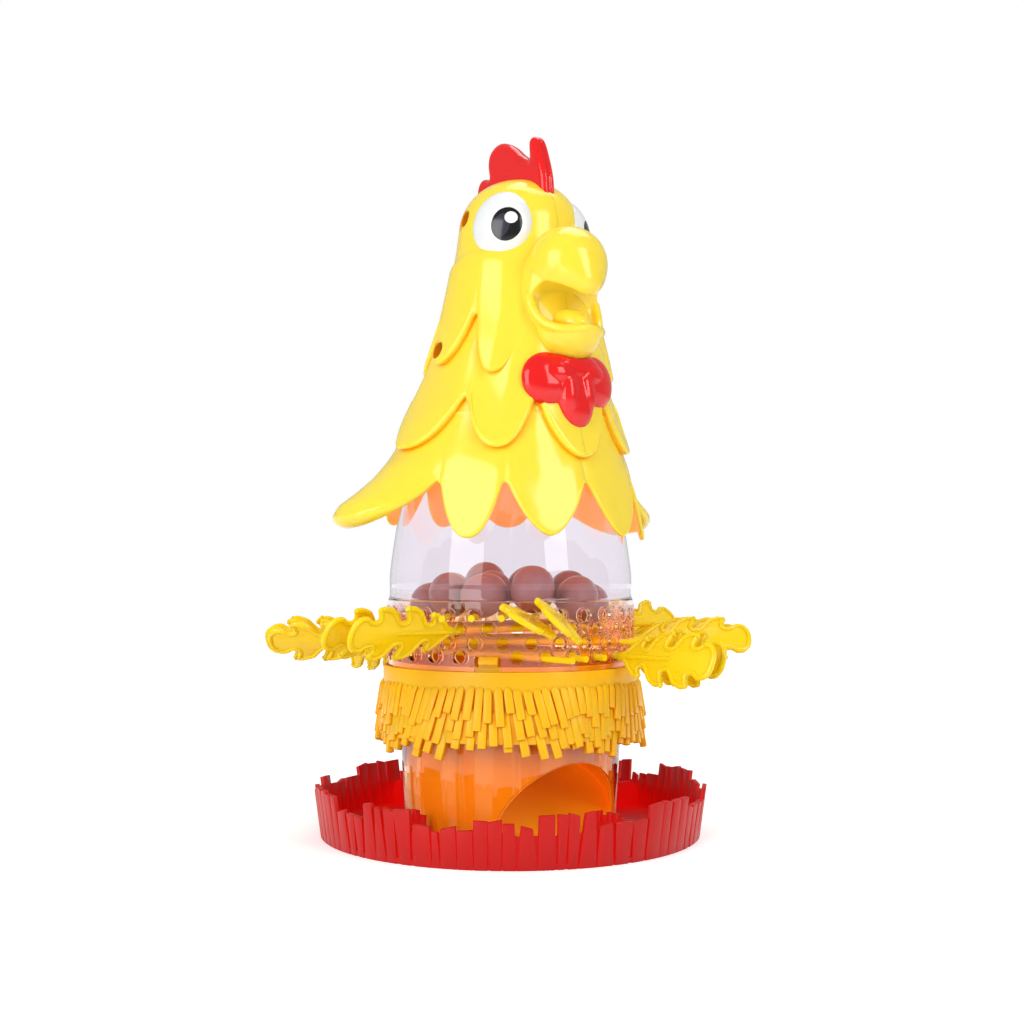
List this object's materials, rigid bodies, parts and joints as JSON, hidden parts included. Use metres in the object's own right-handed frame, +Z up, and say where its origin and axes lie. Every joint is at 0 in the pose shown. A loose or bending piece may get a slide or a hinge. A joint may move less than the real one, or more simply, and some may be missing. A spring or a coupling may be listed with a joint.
{
  "type": "egg-laying chicken game",
  "caption": "Tabletop action game: a turning straw nest and clear drum of eggs under a lift-off chicken head, with pull-out feather sticks over a fenced red tray.",
  "frame": {"origin": "centre of the tray's underside, on the axis that the upper part turns on", "axes": "+Z up along the turning axis; -Y towards the chicken's front; +X towards the chicken's left"},
  "size_m": [0.2362, 0.2362, 0.3423],
  "materials": {
    "red_plastic": "glossy red moulded polystyrene",
    "clear_plastic": "clear moulded polystyrene, polished",
    "orange_plastic": "orange moulded polypropylene, satin",
    "amber_plastic": "amber yellow moulded polypropylene with a straw texture",
    "yellow_plastic": "glossy yellow moulded polystyrene",
    "egg_plastic": "light brown glossy moulded plastic",
    "white_plastic": "glossy white plastic with a printed pupil",
    "screw_steel": "zinc-plated steel"
  },
  "bodies": {
    "tray": {"tray": "red_plastic"},
    "turret": {"base_shell": "clear_plastic", "egg_chute": "orange_plastic", "nest_collar": "amber_plastic", "drum": "clear_plastic", "egg_01": "egg_plastic", "egg_02": "egg_plastic", "egg_03": "egg_plastic", "egg_04": "egg_plastic", "egg_05": "egg_plastic", "egg_06": "egg_plastic", "egg_07": "egg_plastic", "egg_08": "egg_plastic", "egg_09": "egg_plastic", "egg_10": "egg_plastic", "egg_11": "egg_plastic", "egg_12": "egg_plastic", "egg_13": "egg_plastic", "egg_14": "egg_plastic"},
    "head": {"head_left": "yellow_plastic", "head_right": "yellow_plastic", "head_screw_upper": "screw_steel", "head_screw_lower": "screw_steel", "beak": "yellow_plastic", "wattle": "red_plastic", "comb": "red_plastic", "eye_left": "white_plastic", "eye_right": "white_plastic"},
    "feather_01": {"feather_01": "yellow_plastic"},
    "feather_02": {"feather_02": "yellow_plastic"},
    "feather_03": {"feather_03": "yellow_plastic"},
    "feather_04": {"feather_04": "yellow_plastic"},
    "feather_05": {"feather_05": "yellow_plastic"},
    "feather_06": {"feather_06": "yellow_plastic"},
    "feather_07": {"feather_07": "yellow_plastic"},
    "feather_08": {"feather_08": "yellow_plastic"},
    "feather_09": {"feather_09": "yellow_plastic"},
    "feather_10": {"feather_10": "yellow_plastic"},
    "feather_11": {"feather_11": "yellow_plastic"},
    "feather_12": {"feather_12": "yellow_plastic"},
    "feather_13": {"feather_13": "yellow_plastic"},
    "feather_14": {"feather_14": "yellow_plastic"},
    "feather_15": {"feather_15": "yellow_plastic"},
    "feather_16": {"feather_16": "yellow_plastic"},
    "feather_17": {"feather_17": "yellow_plastic"},
    "feather_18": {"feather_18": "yellow_plastic"},
    "feather_19": {"feather_19": "yellow_plastic"},
    "feather_20": {"feather_20": "yellow_plastic"}
  },
  "joints": [
    {"name": "turret_turn", "type": "hinge", "parent": "tray", "child": "turret", "pos_m": [0, 0, 0.014], "axis": [0, 0, 1], "continuous": true},
    {"name": "head_lift", "type": "slide", "parent": "turret", "child": "head", "axis": [0, 0, 1], "range_m": [0, 0.12]},
    {"name": "feather_01_pull", "type": "slide", "parent": "turret", "child": "feather_01", "axis": [-0.6235, -0.7818, 0], "range_m": [0, 0.135]},
    {"name": "feather_02_pull", "type": "slide", "parent": "turret", "child": "feather_02", "axis": [-0.6235, -0.7818, 0], "range_m": [0, 0.135]},
    {"name": "feather_03_pull", "type": "slide", "parent": "turret", "child": "feather_03", "axis": [0.6235, 0.7818, 0], "range_m": [0, 0.135]},
    {"name": "feather_04_pull", "type": "slide", "parent": "turret", "child": "feather_04", "axis": [0.6235, 0.7818, 0], "range_m": [0, 0.135]},
    {"name": "feather_05_pull", "type": "slide", "parent": "turret", "child": "feather_05", "axis": [0.6235, 0.7818, 0], "range_m": [0, 0.135]},
    {"name": "feather_06_pull", "type": "slide", "parent": "turret", "child": "feather_06", "axis": [-0.9937, -0.112, 0], "range_m": [0, 0.135]},
    {"name": "feather_07_pull", "type": "slide", "parent": "turret", "child": "feather_07", "axis": [-0.9937, -0.112, 0], "range_m": [0, 0.135]},
    {"name": "feather_08_pull", "type": "slide", "parent": "turret", "child": "feather_08", "axis": [0.9937, 0.112, 0], "range_m": [0, 0.135]},
    {"name": "feather_09_pull", "type": "slide", "parent": "turret", "child": "feather_09", "axis": [0.9937, 0.112, 0], "range_m": [0, 0.135]},
    {"name": "feather_10_pull", "type": "slide", "parent": "turret", "child": "feather_10", "axis": [0.9937, 0.112, 0], "range_m": [0, 0.135]},
    {"name": "feather_11_pull", "type": "slide", "parent": "turret", "child": "feather_11", "axis": [0.7818, -0.6235, 0], "range_m": [0, 0.135]},
    {"name": "feather_12_pull", "type": "slide", "parent": "turret", "child": "feather_12", "axis": [0.7818, -0.6235, 0], "range_m": [0, 0.135]},
    {"name": "feather_13_pull", "type": "slide", "parent": "turret", "child": "feather_13", "axis": [-0.7818, 0.6235, 0], "range_m": [0, 0.135]},
    {"name": "feather_14_pull", "type": "slide", "parent": "turret", "child": "feather_14", "axis": [-0.7818, 0.6235, 0], "range_m": [0, 0.135]},
    {"name": "feather_15_pull", "type": "slide", "parent": "turret", "child": "feather_15", "axis": [-0.7818, 0.6235, 0], "range_m": [0, 0.135]},
    {"name": "feather_16_pull", "type": "slide", "parent": "turret", "child": "feather_16", "axis": [0.112, -0.9937, 0], "range_m": [0, 0.135]},
    {"name": "feather_17_pull", "type": "slide", "parent": "turret", "child": "feather_17", "axis": [0.112, -0.9937, 0], "range_m": [0, 0.135]},
    {"name": "feather_18_pull", "type": "slide", "parent": "turret", "child": "feather_18", "axis": [-0.112, 0.9937, 0], "range_m": [0, 0.135]},
    {"name": "feather_19_pull", "type": "slide", "parent": "turret", "child": "feather_19", "axis": [-0.112, 0.9937, 0], "range_m": [0, 0.135]},
    {"name": "feather_20_pull", "type": "slide", "parent": "turret", "child": "feather_20", "axis": [-0.112, 0.9937, 0], "range_m": [0, 0.135]}
  ]
}
